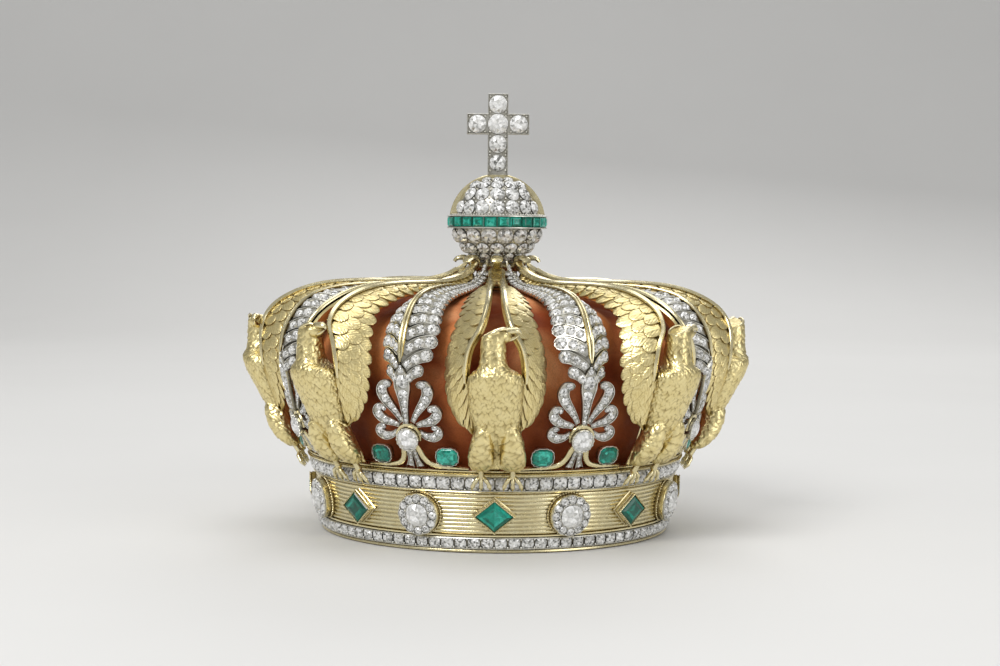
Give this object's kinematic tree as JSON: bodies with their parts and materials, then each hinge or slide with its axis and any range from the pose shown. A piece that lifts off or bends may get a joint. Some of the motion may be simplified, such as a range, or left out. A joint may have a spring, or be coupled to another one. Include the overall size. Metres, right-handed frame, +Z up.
{
  "type": "jewelled crown",
  "caption": "Small closed crown: fluted gold circlet, eagle arches and leaf arches set with stones over a velvet cap, and an orb with a cross on top.",
  "frame": {"origin": "middle of the circlet's bottom edge, on the plane it rests on", "axes": "+Z up through the orb and cross, -Y the front, one eagle arch at the front and the cross facing it"},
  "size_m": [0.1506, 0.1506, 0.128],
  "materials": {
    "polished_gold": "pale polished gold",
    "chased_gold": "matte gold with chased feathers",
    "silver": "silver, lightly toned",
    "diamond_pave": "silver settings filled with cut diamonds",
    "diamond": "cut and polished colourless stone",
    "emerald": "step-cut green stone",
    "cap_velvet": "rust-brown silk velvet",
    "lining_leather": "thin glazed leather"
  },
  "bodies": {
    "root": {"fluted_band": "polished_gold", "lower_stone_rail": "diamond_pave", "upper_stone_rail": "diamond_pave", "headband_lining": "lining_leather", "velvet_cap": "cap_velvet", "eagle_body_1": "chased_gold", "eagle_body_2": "chased_gold", "eagle_body_3": "chased_gold", "eagle_body_4": "chased_gold", "eagle_body_5": "chased_gold", "eagle_body_6": "chased_gold", "eagle_body_7": "chased_gold", "eagle_body_8": "chased_gold", "eagle_wings_1": "chased_gold", "eagle_wings_2": "chased_gold", "eagle_wings_3": "chased_gold", "eagle_wings_4": "chased_gold", "eagle_wings_5": "chased_gold", "eagle_wings_6": "chased_gold", "eagle_wings_7": "chased_gold", "eagle_wings_8": "chased_gold", "band_emerald_1": "emerald", "band_emerald_2": "emerald", "band_emerald_3": "emerald", "band_emerald_4": "emerald", "band_emerald_5": "emerald", "band_emerald_6": "emerald", "band_emerald_7": "emerald", "band_emerald_8": "emerald", "frond_arch_1": "diamond_pave", "frond_arch_2": "diamond_pave", "frond_arch_3": "diamond_pave", "frond_arch_4": "diamond_pave", "frond_arch_5": "diamond_pave", "frond_arch_6": "diamond_pave", "frond_arch_7": "diamond_pave", "frond_arch_8": "diamond_pave", "palmette_1": "diamond_pave", "palmette_2": "diamond_pave", "palmette_3": "diamond_pave", "palmette_4": "diamond_pave", "palmette_5": "diamond_pave", "palmette_6": "diamond_pave", "palmette_7": "diamond_pave", "palmette_8": "diamond_pave", "diamond_cluster_1": "diamond_pave", "diamond_cluster_2": "diamond_pave", "diamond_cluster_3": "diamond_pave", "diamond_cluster_4": "diamond_pave", "diamond_cluster_5": "diamond_pave", "diamond_cluster_6": "diamond_pave", "diamond_cluster_7": "diamond_pave", "diamond_cluster_8": "diamond_pave", "arch_hub": "polished_gold", "finial_bolt": "polished_gold", "orb_bowl": "diamond_pave", "orb_belt": "emerald", "orb_dome": "diamond_pave", "orb_hoop": "polished_gold", "cross": "diamond_pave"}
  },
  "joints": []
}
